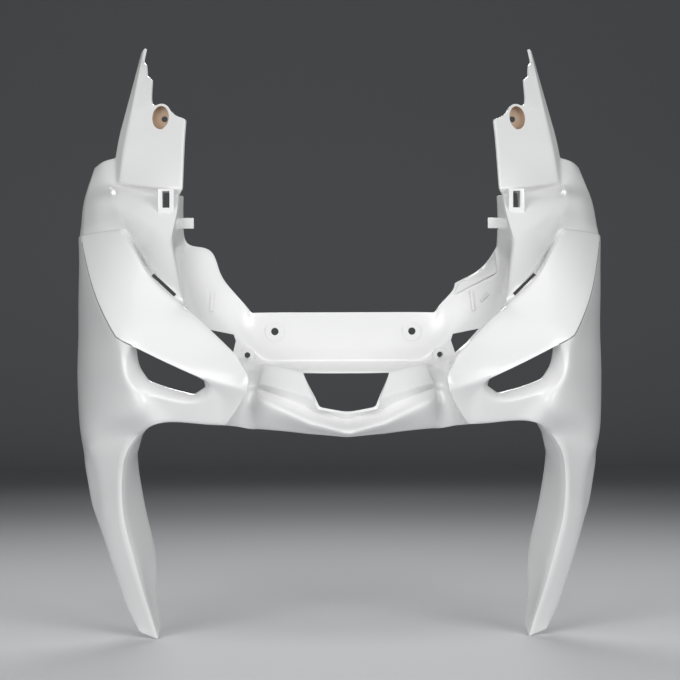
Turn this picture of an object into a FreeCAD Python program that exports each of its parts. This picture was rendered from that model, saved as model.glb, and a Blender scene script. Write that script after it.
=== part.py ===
"""Front spoiler of a scooter: one moulded shell with two arms, a nose, two vents and two legs.

Millimetres, +Z up, the front faces -Y. The origin lies midway between the two bolt holes of the
crossbar, on its front face.
"""
import FreeCAD, Part
import os

from FreeCAD import Vector

NODE = "front_spoiler"

# Driving sizes of the moulding's wall, holes, bosses, slots and tabs
SIZES = {
    "wall": 2.4,
    "return_depth": 24.0,
    "bar_hole_spacing": 120.0,
    "bar_hole_diameter": 6.5,
    "bar_ring_diameter": 17.0,
    "bar_ring_rise": 0.9,
    "boss_spacing": 168.0,
    "boss_drop": 20.5,
    "boss_diameter": 13.0,
    "boss_front": -8.0,
    "boss_back": 5.0,
    "boss_hole_diameter": 5.0,
    "arm_hole_spacing": 320.0,
    "arm_hole_rise": 195.5,
    "arm_hole_diameter": 5.5,
    "cup_offset": 3.0,
    "cup_width": 15.5,
    "cup_height": 22.0,
    "cup_floor": 92.0,
    "slot_spacing": 312.0,
    "slot_rise": 117.5,
    "slot_width": 6.4,
    "slot_height": 14.8,
    "slot_frame_width": 14.4,
    "slot_frame_height": 22.4,
    "slot_frame_depth": 18.0,
    "slot_frame_middle": 41.0,
    "slot_frame_drop": 1.5,
    "groove_slot_spacing": 310.0,
    "groove_slot_rise": 40.0,
    "groove_slot_length": 27.0,
    "groove_slot_width": 2.6,
    "groove_slot_tilt": 42.5,
    "tab_reach": 9.5,
    "tab_root": 4.0,
    "tab_rise": 92.5,
    "tab_height": 9.5,
    "tab_front": 44.0,
}

# Edge lines of one half of the outer skin, each point as half-width, depth and height
RAILS = {
    "bar_top": [(0, 0, 16), (20, 0, 16), (41, 0, 16), (61.5, 0, 16), (81, 2, 16), (88, 8, 25)],
    "bar_mid": [(0, 0, -13), (20, 0, -13), (41, 0, -13), (61.5, 0, -13), (77, 0, -12), (91, 0, -5)],
    "ledge_back": [(0, 3, -26), (19, 3, -26), (38.5, 3, -26), (54, 3, -26), (69, 1, -26),
                   (80, -7, -23.5)],
    "ledge_front": [(0, -58, -33.5), (18.5, -58, -33.5), (37, -58, -33.5), (51, -51, -30.5),
                    (66, -42, -27), (75, -36, -31.5)],
    "mouth_sill": [(0, -90, -69), (24.5, -86, -65.5), (28.5, -82, -56.5), (48, -73, -50),
                   (72.5, -62, -43.5)],
    "lip_root": [(0, -86, -75), (22.5, -79, -67.5), (30, -76, -65), (48, -69, -58), (73, -58, -49)],
    "lip_edge": [(0, -106, -83.5), (24, -96, -79), (33, -92, -76.5), (48, -84, -70.5), (72.5, -70, -60.5)],
    "nose_under": [(0, -88, -88.5), (24, -74, -87), (33, -69, -86.5), (48, -60, -85), (73.5, -48, -83)],
    "nose_side": [(76.5, -56, -45), (77.5, -54, -51), (79, -58, -62), (81, -47, -83)],
    "valley": [(97, -20, -19.5), (88, -48, -33), (87, -62, -44), (87.5, -64, -51.5),
               (90, -64, -66), (92.5, -57, -80.5)],
    "cheek_end": [(89.5, -92, -64), (97, -82, -78.5)],
    "brow_ridge": [(83, -100, -35.5), (92.5, -89, -20), (112, -71, -1), (127, -59, 12.5),
                   (138.5, -50, 21.5), (165.5, -38, 45), (179, -29, 67), (192.5, -16, 87)],
    "brow_mid": [(83, -103, -43), (103, -90.5, -29), (129, -76, -13.5), (153.5, -64.5, 0.5),
                 (166.5, -57.5, 10), (184.5, -42.5, 29.5), (200, -22, 54), (213, 4, 83)],
    "brow_low": [(84, -102, -49.5), (118, -88, -40.5), (147.5, -77, -27.5), (180.5, -64, -12),
                 (194.5, -59, -4.5), (206, -41, 14.5), (219, -10, 42), (230.5, 30, 80.5)],
    "groove_floor": [(138.5, -45, 25), (163.3, -30.5, 47.5), (177.3, -22, 69.2), (190.5, -14, 88.8)],
    "panel_edge": [(138.5, -42, 28.5), (160, -36, 50.3), (175, -27, 70.8), (189, -14, 90.5)],
    "bay_rim": [(98, 17, 35.5), (101.5, 26, 43), (125.5, 40, 56.5), (140, 46, 76.5)],
    "bay_lobe": [(100.5, 18, 39.5), (109.5, 30, 54), (118, 42.5, 73), (140, 46, 76.5)],
    "bay_mid": [(106, 4, 11.5), (120.5, 12, 27.5), (133, 21, 44.5), (141.5, 29, 60)],
    "bay_trough": [(113.5, -18, -6.5), (128.5, -18, 9), (139, -22, 24.5)],
    "fold": [(147.3, -7, 67.8), (150, 8, 84.2), (146.5, 25, 104.5), (145.5, 39.5, 122)],
    "fold_back": [(141.5, 52, 103), (141.5, 57, 122)],
    "panel_out": [(195.5, 9, 101.5), (200, 29, 111.5), (204, 49, 123), (204, 82, 134.5)],
    "arm_foot": [(142.5, 37, 128.5), (161.5, 44, 129.5), (181, 59, 133), (200, 76, 137)],
    "arm_inner": [(142.2, 48, 154), (141.5, 55, 174.5), (140.7, 62, 192)],
    "arm_crease": [(198, 85, 160), (196.2, 89.5, 173), (194.3, 94, 185), (180.5, 117, 263)],
    "arm_steps": [(151, 71, 197.8), (158.7, 79, 205.5), (169.5, 86.5, 207.8), (172.6, 90, 213.5),
                  (172.3, 97, 232), (177, 103, 237.3), (178.2, 107, 247), (181.3, 112, 251.5),
                  (179.2, 115.5, 263.5)],
    "arm_back": [(206, 102, 160.5), (203.8, 106.5, 175), (201.5, 110.5, 187), (182.8, 124, 261)],
    "vent_edge": [(114.5, -85, -47.5), (125.5, -77, -56), (147.5, -68, -53.5), (169, -62, -46),
                  (177.5, -60, -34), (180.5, -61, -22)],
    "vent_back": [(120.5, -72, -41), (119, -70, -46.5), (128.5, -63, -52.5), (148.5, -55, -48),
                  (166.5, -49, -41.5), (174, -48, -31), (176.5, -49, -21), (177, -50, -12.5)],
    "vent_roof": [(148, -61, -26.5)],
    "cheek_mid": [(101, -87, -58), (111.5, -82, -62), (126, -74, -65.5), (147.5, -66, -63.5),
                  (166.5, -60, -61)],
    "cheek_low": [(103, -79, -78), (113.5, -74.5, -78), (126.5, -69, -77.5), (148, -60.5, -76.8),
                  (164, -56, -77.5)],
    "hip_corner": [(190, -57, -18), (187, -59.5, -34.5), (182, -60, -51), (179.5, -57.5, -71)],
    "leg_ridge": [(176, -36, -88.5), (186, -27, -102.5), (192, -18, -120.5), (193, -14, -139.5),
                  (191, -11, -164), (184, -8, -193), (176, -3, -224.5), (169, 2, -247.5),
                  (163, 6, -268.5)],
    "leg_inner": [(176, 19, -89), (182, 34, -107.5), (181, 36, -123.5), (178, 37, -143.5),
                  (173, 37, -168.5), (166.5, 37, -198), (166, 36, -229), (163.5, 35, -252),
                  (162, 32, -260.5)],
    "side_ridge": [(236, 58, 80.5), (230, 26, 43), (224.5, 10, 15), (222, 2, -5), (221.5, 0, -18),
                   (221, 0, -35.5), (221, 1, -52), (221, 4, -71), (221, 9, -92), (217.5, 11, -109),
                   (214, 12, -127), (212, 13, -145), (209.7, 14, -169), (205, 16, -196.5),
                   (196, 17, -224), (190, 18, -243), (184.8, 18.5, -255)],
    "side_out": [(236.5, 90, 81.5), (238, 80, 44.5), (238.5, 80, 16), (238.5, 80, -5),
                 (239, 80, -18.5), (239.5, 80, -37), (239, 80, -54.5), (238, 78, -72.5),
                 (235.5, 72, -93), (232, 62, -110), (229.5, 57, -126), (226, 55, -146),
                 (219.5, 53, -169), (206, 40, -198), (197, 34, -225.5), (190.5, 31, -244),
                 (185.5, 28, -254)],
    "side_rear": [(238, 156, 84.5), (240, 156, 46.5), (240, 156, 17), (240.5, 156, -5),
                  (240.5, 156, -19), (240.5, 156, -38), (240.5, 156, -56), (239.5, 152, -74),
                  (237.5, 140, -96.5), (233.5, 122, -111.5), (229.5, 106, -128), (223.5, 93, -148),
                  (215, 80, -171), (203.5, 62, -199.5), (196, 51, -227), (189, 43, -245),
                  (183.5, 38, -256)],
    "shoulder_mid": [(216, 24, 98), (218, 43, 110.5), (219.5, 62, 122.5), (219.5, 92, 136),
                     (218, 112, 158)],
    "shoulder_out": [(230.5, 52, 98), (231.5, 70, 111), (231, 86, 124), (229.5, 108, 138),
                     (226, 124, 154)],
}

# Window behind the brow, and the plates and prisms that trim and cut the shell
WINDOW = [(118, 2), (96, -2.5), (94, -8), (96.5, -19), (107, -10)]
WINDOW_FRONT = -32.0
WINDOW_DEPTH = 60.0
CUT_LENGTH = 120.0
MITRE_LIMIT = 3.0
SEW_TOLERANCE = 0.001

doc = FreeCAD.newDocument(NODE)
sheet = doc.addObject("Spreadsheet::Sheet", "Sizes")


def fill_sheet():
    """One row for each size, and one row of three cells for each point of the skin."""
    row = 1
    for name, value in SIZES.items():
        sheet.set(f"A{row}", name)
        sheet.set(f"B{row}", str(value))
        sheet.setAlias(f"B{row}", name)
        row += 1
    for name, points in RAILS.items():
        for index, point in enumerate(points):
            sheet.set(f"A{row}", f"{name}_{index}")
            for column, axis, value in zip("BCD", "xyz", point):
                sheet.set(f"{column}{row}", str(value))
                sheet.setAlias(f"{column}{row}", f"{name}_{index}_{axis}")
            row += 1
    doc.recompute()


def size(name):
    return float(sheet.get(name))


def rails_of(sign):
    """The half's lines as vectors, on the side of X that the sign names."""
    lines = {}
    for name, points in RAILS.items():
        lines[name] = [
            snap(Vector(sign * size(f"{name}_{i}_x"), size(f"{name}_{i}_y"), size(f"{name}_{i}_z")))
            for i in range(len(points))
        ]
    return lines


def snap(point):
    """A point on the micrometre, so that panels that share it agree exactly."""
    return Vector(round(point.x, 3), round(point.y, 3), round(point.z, 3))


def between(start, end, share):
    return snap(start + (end - start) * share)


def span(start, end, count):
    """Evenly spaced points from start to end."""
    return [between(start, end, i / (count - 1)) for i in range(count)]


def nose_panels(r):
    """Crossbar, ledge, mouth surround, lip and underside, out to the valley beside the nose."""
    back = size("return_depth")
    nose_end = [r["ledge_front"][4], r["mouth_sill"][4], r["lip_root"][4], r["lip_edge"][4],
                r["nose_under"][4]]
    side = [r["ledge_front"][5]] + r["nose_side"]
    valley_in = [r["ledge_back"][5]] + side
    foot = [nose_end[-1], side[-1], r["valley"][-1]]
    return [
        [r["bar_top"], r["bar_mid"], r["ledge_back"]],
        [r["ledge_back"], r["ledge_front"]],
        [r["ledge_front"][2:5], r["mouth_sill"][2:5]],
        [r["mouth_sill"], r["lip_root"]],
        [r["lip_root"], r["lip_edge"]],
        [r["lip_edge"], r["nose_under"]],
        [nose_end, side],
        [valley_in, r["valley"], r["brow_end"]],
        [r["nose_under"], returned(r["nose_under"], back)],
        [foot, returned(foot, back)],
    ]


def returned(points, depth):
    """The inner edge of a flange that runs straight back from an edge."""
    return [snap(p + Vector(0, depth, 1)) for p in points]


def brow_panels(r):
    """Brow, the groove above it, the bay behind it and the arm's inner flange."""
    rim = [r["bar_top"][5]] + r["rim"]
    mid = [r["bar_mid"][5]] + r["bay_mid"]
    trough = [r["ledge_back"][5], r["valley"][0]] + r["bay_trough"]
    fold = [r["panel_edge"][0]] + r["fold"]
    fold_back = [trough[-1], mid[-1], rim[-1]] + r["fold_back"]
    return [
        [r["brow_ridge"], r["brow_mid"], r["brow_low"]],
        [r["brow_ridge"][4:], r["groove_floor"], r["panel_edge"]],
        [rim, mid, trough],
        [r["brow_ridge"][1:5], trough[1:]],
        [[r["brow_ridge"][4], trough[-1]], [r["groove_floor"][0], r["panel_edge"][0]]],
        [fold, fold_back],
    ]


def vent_panels(r):
    """Vent with its reveal, the cheek under it, its outer frame and the knee over the leg."""
    back = size("return_depth")
    low = r["brow_low"]
    edge = [low[1]] + r["vent_edge"] + [low[3]]
    cheek_top = [low[0]] + edge[:5]
    cheek_mid = [r["cheek_end"][0]] + r["cheek_mid"]
    cheek_low = [r["cheek_end"][1]] + r["cheek_low"]
    hip = r["hip_corner"]
    knee_foot = [cheek_low[-1], r["leg_ridge"][0]]
    knee_back = [returned(knee_foot, back)[0], r["leg_inner"][0]]
    cheek_back = returned(cheek_low, back)
    cheek_back[0] = between(cheek_back[0], cheek_back[1], 0.7)
    return [
        [edge, r["vent_back"]],
        [low[1:4], [r["vent_back"][0], r["vent_roof"][0], r["vent_back"][-1]]],
        [cheek_top, cheek_mid, cheek_low],
        [edge[4:], [hip[2], hip[1], hip[0], low[4]]],
        [[edge[4], cheek_mid[-1], cheek_low[-1]], [hip[2], hip[3], r["leg_ridge"][0]]],
        [cheek_low, cheek_back],
        [knee_foot, knee_back],
    ]


def flank_panels(r):
    """Outer side from the shoulder to the tip of the leg, and the leg's inner wall."""
    front = r["brow_low"][:3:-1] + r["hip_corner"] + r["leg_ridge"]
    return [
        [front, r["side_ridge"], r["side_out"], r["side_rear"]],
        [r["leg_ridge"], r["leg_inner"]],
    ]


def shoulder_panels(r):
    """Recessed panel under the arm, and the shoulder that wraps from it round to the rear edge."""
    fold = [r["panel_edge"][0]] + r["fold"]
    outer = [r["panel_edge"][3]] + r["panel_out"]
    panel = [r["panel_edge"]]
    for inner_point, outer_point in zip(fold[1:], outer[1:]):
        panel.append(span(inner_point, outer_point, 4))
    inner = [r["brow_ridge"][7], r["groove_floor"][3]] + outer + [r["arm_back"][0]]
    crest = [r["brow_mid"][7]] + r["shoulder_mid"]
    crest[1:1] = [between(crest[0], crest[1], share) for share in (0.15, 0.3)]
    edge = [r["brow_low"][7]] + r["shoulder_out"]
    edge[1:1] = [between(edge[0], edge[1], share) for share in (0.15, 0.3)]
    root = edge[0]
    rear = r["side_rear"][0].y
    wraps = [r["side_ridge"][0] - root, r["side_out"][0] - root, r["side_rear"][0] - root]
    flank = [edge]
    for wrap in wraps:
        flank.append([snap(p + wrap * ((rear - p.y) / (rear - root.y))) for p in edge])
    return [panel, [inner, crest, edge], flank]


def arm_panels(r):
    """Front plate of the arm with its outer flange, and the step down to the panel below."""
    foot = r["arm_foot"]
    fold_top = span(r["fold"][3], r["panel_out"][3], 4)
    plate = [foot]
    for inner_point, crease_point in zip(r["arm_inner"], r["arm_crease"]):
        plate.append(span(inner_point, crease_point, 4))
    crease = [foot[3]] + r["arm_crease"][:3]
    back = [r["panel_out"][3]] + r["arm_back"][:3]
    return [plate, [fold_top, foot], [crease, back]]


def arm_top_panels(r):
    """Stepped end of the arm, straight from step to step."""
    steps = [r["arm_inner"][2]] + r["arm_steps"]
    height = steps[-1].z - steps[0].z
    shares = [(p.z - steps[0].z) / height for p in steps]
    crease = [between(r["arm_crease"][2], r["arm_crease"][3], share) for share in shares]
    back = [between(r["arm_back"][2], r["arm_back"][3], share) for share in shares]
    plate = [span(a, b, 4) for a, b in zip(steps, crease)]
    return [plate, [crease, back]]


def half_panels(sign):
    """Smooth panels, straight panels and the long lines that panels share, for one side."""
    r = rails_of(sign)
    r["rim"] = r["bay_rim"] if sign > 0 else r["bay_lobe"]
    r["brow_end"] = [r["brow_ridge"][1], r["brow_ridge"][0], r["brow_mid"][0], r["brow_low"][0]]
    r["brow_end"] += r["cheek_end"]
    smooth = nose_panels(r) + brow_panels(r) + vent_panels(r)
    smooth += flank_panels(r) + shoulder_panels(r) + arm_panels(r)
    lines = [
        [r["cheek_end"][1]] + r["cheek_low"] + r["leg_ridge"],
        r["brow_low"],
        r["brow_ridge"],
        r["brow_end"][:4],
        [r["brow_low"][1]] + r["vent_edge"] + [r["brow_low"][3]],
        [r["brow_low"][4]] + r["hip_corner"] + [r["leg_ridge"][0]],
        r["ledge_front"][:3],
        r["ledge_front"][2:5],
        r["ledge_front"][4:],
    ]
    return smooth, arm_top_panels(r), lines


def key(point):
    return (point.x, point.y, point.z)


def slopes(points):
    """Tangents of a smooth line through the points, for each unit of chord."""
    chords = [b - a for a, b in zip(points, points[1:])]
    rates = [c / c.Length for c in chords]
    inner = []
    for i in range(1, len(chords)):
        before, after = chords[i - 1].Length, chords[i].Length
        inner.append((rates[i - 1] * after + rates[i] * before) / (before + after))
    if not inner:
        return [rates[0], rates[0]]
    first = rates[0] * 1.5 - inner[0] * 0.5
    last = rates[-1] * 1.5 - inner[-1] * 0.5
    return [first] + inner + [last]


def add_line(points, handles):
    """Cubic handles of each edge along a smooth line, unless another line has set them."""
    tangents = slopes(points)
    for i in range(len(points) - 1):
        a, b = points[i], points[i + 1]
        if (key(a), key(b)) in handles:
            continue
        reach = (b - a).Length / 3
        handles[key(a), key(b)] = a + tangents[i] * reach
        handles[key(b), key(a)] = b - tangents[i + 1] * reach


def cells_of(panel):
    """The four-cornered cells of a grid, each as its corners in order round it."""
    cells = []
    for upper, lower in zip(panel, panel[1:]):
        for i in range(len(upper) - 1):
            cells.append([upper[i], upper[i + 1], lower[i + 1], lower[i]])
    return cells


def edges_of(cell):
    return list(zip(cell, cell[1:] + cell[:1]))


def edge_users(cells):
    """For each edge, whichever way it runs, the cells that use it."""
    users = {}
    for number, cell in enumerate(cells):
        for a, b in edges_of(cell):
            users.setdefault(frozenset((key(a), key(b))), []).append(number)
    return users


def turn_alike(cells):
    """Cells turned so that all face out, as the first does once it is turned to the front."""
    users = edge_users(cells)
    turned = {0: cells[0][::-1]}
    waiting = [0]
    while waiting:
        number = waiting.pop()
        for a, b in edges_of(turned[number]):
            for other in users[frozenset((key(a), key(b)))]:
                if other in turned:
                    continue
                ways = [(key(p), key(q)) for p, q in edges_of(cells[other])]
                same = (key(a), key(b)) in ways
                turned[other] = cells[other][::-1] if same else cells[other]
                waiting.append(other)
    return [turned[number] for number in range(len(cells))]


def inner_points(cells, handles, wall):
    """Each point moved in by the wall, with mitres where panels meet at an angle."""
    normals = {}
    for cell in cells:
        for i in range(4):
            here, after, before = cell[i], cell[(i + 1) % 4], cell[i - 1]
            ahead = handles[key(here), key(after)] - here
            behind = handles[key(here), key(before)] - here
            normal = ahead.cross(behind)
            if normal.Length > 0:
                weight = ahead.getAngle(behind)
                normals.setdefault(key(here), []).append((normal.normalize(), weight))
    moved = {}
    for point, faces in normals.items():
        mean = Vector()
        for normal, weight in faces:
            mean += normal * weight
        mean.normalize()
        total = sum(weight for normal, weight in faces)
        share = sum(mean.dot(normal) * weight for normal, weight in faces) / total
        stretch = min(1 / max(share, 1 / MITRE_LIMIT), MITRE_LIMIT)
        moved[point] = snap(Vector(*point) - mean * (wall * stretch))
    return moved


def curve_poles(a, b, handles):
    return [a, handles[key(a), key(b)], handles[key(b), key(a)], b]


def cell_face(cell, handles):
    """Cubic patch on the four edges of a cell."""
    p00, p10, p11, p01 = cell
    south = curve_poles(p00, p10, handles)
    north = curve_poles(p01, p11, handles)
    west = curve_poles(p00, p01, handles)
    east = curve_poles(p10, p11, handles)
    poles = []
    for i in range(4):
        u = i / 3
        column = []
        for j in range(4):
            v = j / 3
            ruled = south[i] * (1 - v) + north[i] * v + west[j] * (1 - u) + east[j] * u
            flat = (p00 * (1 - u) + p10 * u) * (1 - v) + (p01 * (1 - u) + p11 * u) * v
            column.append(ruled - flat)
        poles.append(column)
    return patch(poles, 3)


def patch(poles, degree_across):
    surface = Part.BSplineSurface()
    across = degree_across + 1
    surface.buildFromPolesMultsKnots(
        poles, [4, 4], [across, across], [0, 1], [0, 1], False, False, 3, degree_across
    )
    return surface.toShape()


def shell_solid():
    """The moulded wall: outer skin, inner skin and the rims between their free edges."""
    handles = {}
    panels = []
    straight = []
    lines = []
    for sign in (1, -1):
        smooth_half, straight_half, lines_half = half_panels(sign)
        panels += smooth_half
        straight += straight_half
        lines += lines_half
    for panel in straight:
        for row in panel:
            for a, b in zip(row, row[1:]):
                add_line([a, b], handles)
        for column in zip(*panel):
            for a, b in zip(column, column[1:]):
                add_line([a, b], handles)
    for line in lines:
        add_line(line, handles)
    for panel in panels:
        for row in panel:
            add_line(row, handles)
        for column in zip(*panel):
            add_line(list(column), handles)
    cells = turn_alike([cell for panel in panels + straight for cell in cells_of(panel)])
    moved = inner_points(cells, handles, size("wall"))
    inner_handles = {}
    for (a, b), handle in handles.items():
        start, end = Vector(*a), Vector(*b)
        shrink = (moved[b] - moved[a]).Length / (end - start).Length
        inner_handles[key(moved[a]), key(moved[b])] = moved[a] + (handle - start) * shrink
    faces = []
    for cell in cells:
        faces.append(cell_face(cell, handles))
        faces.append(cell_face([moved[key(p)] for p in cell], inner_handles))
    for edge, users in edge_users(cells).items():
        if len(users) == 1:
            a, b = sorted(edge)
            outer = curve_poles(Vector(*a), Vector(*b), handles)
            inner = curve_poles(moved[a], moved[b], inner_handles)
            faces.append(patch([list(pair) for pair in zip(outer, inner)], 1))
    skin = Part.makeCompound(faces)
    skin.sewShape(SEW_TOLERANCE)
    solid = Part.Solid(skin.Shells[0])
    if solid.Volume < 0:
        solid.reverse()
    return solid


def bind(item, **cells):
    for prop, expression in cells.items():
        item.setExpression(prop.replace("__", "."), expression)
    return item


def along_y(name, diameter, start, length, x, z):
    """Round bar along +Y, with its sizes and place bound to the sheet."""
    item = doc.addObject("Part::Cylinder", name)
    item.Placement.Rotation = FreeCAD.Rotation(Vector(1, 0, 0), -90)
    bind(item, Radius=f"{diameter} / 2", Height=length)
    return bind(item, Placement__Base__x=x, Placement__Base__y=start, Placement__Base__z=z)


def half_spacing(name, sign):
    return f"{sign} * Sizes.{name} / 2"


def oval_bar(x, z, width, height, start, length):
    """Oval bar along +Y."""
    flat = Part.Ellipse(Vector(0, 0, 0), height / 2, width / 2).toShape()
    face = Part.Face(Part.Wire([flat]))
    bar = face.extrude(Vector(0, 0, length))
    turn = FreeCAD.Rotation(Vector(0, 0, 1), Vector(1, 0, 0), Vector(0, 1, 0), "XYZ")
    bar.Placement = FreeCAD.Placement(Vector(x, start, z), turn)
    return bar


def feature(name, shape):
    item = doc.addObject("Part::Feature", name)
    item.Shape = shape
    return item


def behind_arm(sign):
    """The space behind the middle of the arm plate's wall."""
    r = rails_of(sign)
    top, crease, low = r["arm_inner"][2], r["arm_crease"][2], r["arm_inner"][1]
    across = crease - top
    up = top - low
    normal = across.cross(up).normalize()
    if normal.y < 0:
        normal = -normal
    root = low + normal * (size("wall") / 2)
    corners = [root + across * a + up * b for a, b in ((-1, -2), (2, -2), (2, 4), (-1, 4))]
    return Part.Face(Part.makePolygon(corners + corners[:1])).extrude(Vector(0, CUT_LENGTH, 0))


def arm_cup(sign):
    """Oval screw cup behind the arm plate, and the pocket that hollows it."""
    wall = size("wall")
    x = sign * (size("arm_hole_spacing") / 2 + size("cup_offset"))
    z = size("arm_hole_rise")
    floor = size("cup_floor")
    start = floor - CUT_LENGTH / 2
    body = oval_bar(x, z, size("cup_width") + 2 * wall, size("cup_height") + 2 * wall,
                    start, floor + wall - start)
    pocket = oval_bar(x, z, size("cup_width"), size("cup_height"), start, floor - start)
    return body.common(behind_arm(sign)), pocket


def window_prism(sign):
    """Opening between the brow and the bay."""
    corners = [Vector(sign * x, WINDOW_FRONT, z) for x, z in WINDOW]
    face = Part.Face(Part.makePolygon(corners + corners[:1]))
    return face.extrude(Vector(0, WINDOW_DEPTH, 0))


def tilted_box(name, width, depth, height, centre, turn):
    """Box about a bound centre, turned about it."""
    item = doc.addObject("Part::Box", name)
    bind(item, Length=width, Width=depth, Height=height)
    item.Placement.Rotation = turn
    doc.recompute()
    shift = turn.multVec(Vector(item.Length.Value / 2, item.Width.Value / 2, item.Height.Value / 2))
    x, y, z = centre
    return bind(
        item,
        Placement__Base__x=f"{x} - {shift.x}",
        Placement__Base__y=f"{y} - {shift.y}",
        Placement__Base__z=f"{z} - {shift.z}",
    )


def side_features(side, sign):
    """What is added to and cut from the shell on one side."""
    ring = along_y(f"bar_ring_{side}", "Sizes.bar_ring_diameter", "-Sizes.bar_ring_rise",
                   "Sizes.bar_ring_rise + Sizes.wall", half_spacing("bar_hole_spacing", sign), "0")
    boss = along_y(f"boss_{side}", "Sizes.boss_diameter", "Sizes.boss_front",
                   "Sizes.boss_back - Sizes.boss_front", half_spacing("boss_spacing", sign),
                   "-Sizes.boss_drop")
    cup_body, cup_pocket = arm_cup(sign)
    cup = feature(f"arm_cup_{side}", cup_body)
    upright = FreeCAD.Rotation()
    slot_x = half_spacing("slot_spacing", sign)
    frame = tilted_box(f"slot_frame_{side}", "Sizes.slot_frame_width", "Sizes.slot_frame_depth",
                       "Sizes.slot_frame_height",
                       (slot_x, "Sizes.slot_frame_middle", "Sizes.slot_rise - Sizes.slot_frame_drop"),
                       upright)
    tab = doc.addObject("Part::Box", f"tab_{side}")
    bind(tab, Length="Sizes.tab_reach + Sizes.tab_root", Width="Sizes.wall", Height="Sizes.tab_height")
    start = "Sizes.fold_back_0_x - Sizes.tab_reach" if sign > 0 else "-Sizes.fold_back_0_x - Sizes.tab_root"
    bind(tab, Placement__Base__x=start, Placement__Base__y="Sizes.tab_front",
         Placement__Base__z="Sizes.tab_rise")
    reach = f"-{CUT_LENGTH} / 2"
    bar_hole = along_y(f"bar_hole_{side}", "Sizes.bar_hole_diameter", reach, f"{CUT_LENGTH}",
                       half_spacing("bar_hole_spacing", sign), "0")
    boss_hole = along_y(f"boss_hole_{side}", "Sizes.boss_hole_diameter", reach, f"{CUT_LENGTH}",
                        half_spacing("boss_spacing", sign), "-Sizes.boss_drop")
    arm_hole = along_y(f"arm_hole_{side}", "Sizes.arm_hole_diameter",
                       f"Sizes.cup_floor - {CUT_LENGTH} / 2", f"{CUT_LENGTH}",
                       half_spacing("arm_hole_spacing", sign), "Sizes.arm_hole_rise")
    pocket = feature(f"cup_pocket_{side}", cup_pocket)
    slot = tilted_box(f"slot_{side}", "Sizes.slot_width", f"{CUT_LENGTH}", "Sizes.slot_height",
                      (slot_x, "Sizes.slot_frame_middle", "Sizes.slot_rise"), upright)
    slant = FreeCAD.Rotation(Vector(0, 1, 0), -sign * size("groove_slot_tilt"))
    thin_slot = tilted_box(f"groove_slot_{side}", "Sizes.groove_slot_length", f"{CUT_LENGTH} / 2",
                           "Sizes.groove_slot_width",
                           (half_spacing("groove_slot_spacing", sign), "-Sizes.return_depth",
                            "Sizes.groove_slot_rise"),
                           slant)
    window = feature(f"window_{side}", window_prism(sign))
    return [ring, boss, cup, frame, tab], [bar_hole, boss_hole, arm_hole, pocket, slot, thin_slot, window]


def build():
    fill_sheet()
    added = [feature("wall_shell", shell_solid())]
    cutters = []
    for side, sign in (("right", 1), ("left", -1)):
        plus, minus = side_features(side, sign)
        added += plus
        cutters += minus
    body = doc.addObject("Part::MultiFuse", "moulding")
    body.Shapes = added
    tools = doc.addObject("Part::Compound", "cutters")
    tools.Links = cutters
    part = doc.addObject("Part::Cut", NODE)
    part.Base = body
    part.Tool = tools
    part.Label = NODE
    part.Placement = FreeCAD.Placement()
    doc.recompute()
    return part


def check(part):
    for item in doc.Objects:
        if "Invalid" in item.State or "Error" in item.State:
            raise RuntimeError(f"{item.Name} failed: {item.State}")
    shape = part.Shape
    if shape.isNull() or not shape.isValid():
        raise RuntimeError(f"{part.Label} has no valid shape")
    if len(shape.Solids) != 1:
        raise RuntimeError(f"{part.Label} has {len(shape.Solids)} solids")


part = build()
check(part)
os.makedirs("parts", exist_ok=True)
part.Shape.exportStep(f"parts/{part.Label}.step")
box = part.Shape.BoundBox
print(f"{part.Label}: {box.XLength:.1f} x {box.YLength:.1f} x {box.ZLength:.1f} mm,",
      f"{part.Shape.Volume / 1000:.1f} cm3")
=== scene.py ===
"""Looks of the scooter front spoiler: one glossy white moulded shell in a plain studio."""
import math

import bmesh
import bpy
from mathutils import Matrix, Vector
from mathutils.kdtree import KDTree


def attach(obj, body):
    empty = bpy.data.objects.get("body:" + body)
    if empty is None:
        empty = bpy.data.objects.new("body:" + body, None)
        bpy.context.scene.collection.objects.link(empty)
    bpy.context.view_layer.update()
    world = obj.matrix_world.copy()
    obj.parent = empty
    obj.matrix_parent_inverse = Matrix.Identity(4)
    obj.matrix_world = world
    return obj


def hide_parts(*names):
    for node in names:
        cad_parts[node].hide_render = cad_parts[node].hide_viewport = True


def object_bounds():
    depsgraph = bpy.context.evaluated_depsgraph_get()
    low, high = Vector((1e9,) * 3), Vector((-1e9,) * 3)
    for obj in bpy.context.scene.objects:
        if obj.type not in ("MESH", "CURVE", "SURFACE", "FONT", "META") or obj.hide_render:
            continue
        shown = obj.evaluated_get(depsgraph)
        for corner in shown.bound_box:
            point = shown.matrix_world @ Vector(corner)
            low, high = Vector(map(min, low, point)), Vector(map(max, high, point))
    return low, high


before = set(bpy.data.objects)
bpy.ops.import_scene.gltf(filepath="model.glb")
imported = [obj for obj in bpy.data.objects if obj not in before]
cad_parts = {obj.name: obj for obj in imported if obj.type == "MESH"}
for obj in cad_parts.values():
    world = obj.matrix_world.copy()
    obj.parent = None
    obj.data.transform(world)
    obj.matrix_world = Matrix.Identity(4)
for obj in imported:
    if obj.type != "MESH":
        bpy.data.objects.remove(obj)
cad_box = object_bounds()

NODE = "front_spoiler"
MM = 0.001

# Wall of the shell in millimetres
WALL = 2.4
RETURN_DEPTH = 24.0
RETURN_RISE = 1.0
MITRE_LIMIT = 3.0

# Smoothing of the cage: creases from 0 to 1, angles in degrees
RIM_CREASE = 0.75
LEAST_CREASE = 0.38
MOST_CREASE = 0.7
FLAT_ANGLE = 14.0
CORNER_ANGLE = 30.0
SHARP_ANGLE = 48.0
SMOOTH_LEVELS = 3
FIT_ROUNDS = 4
FIT_SHARE = 0.7

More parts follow.
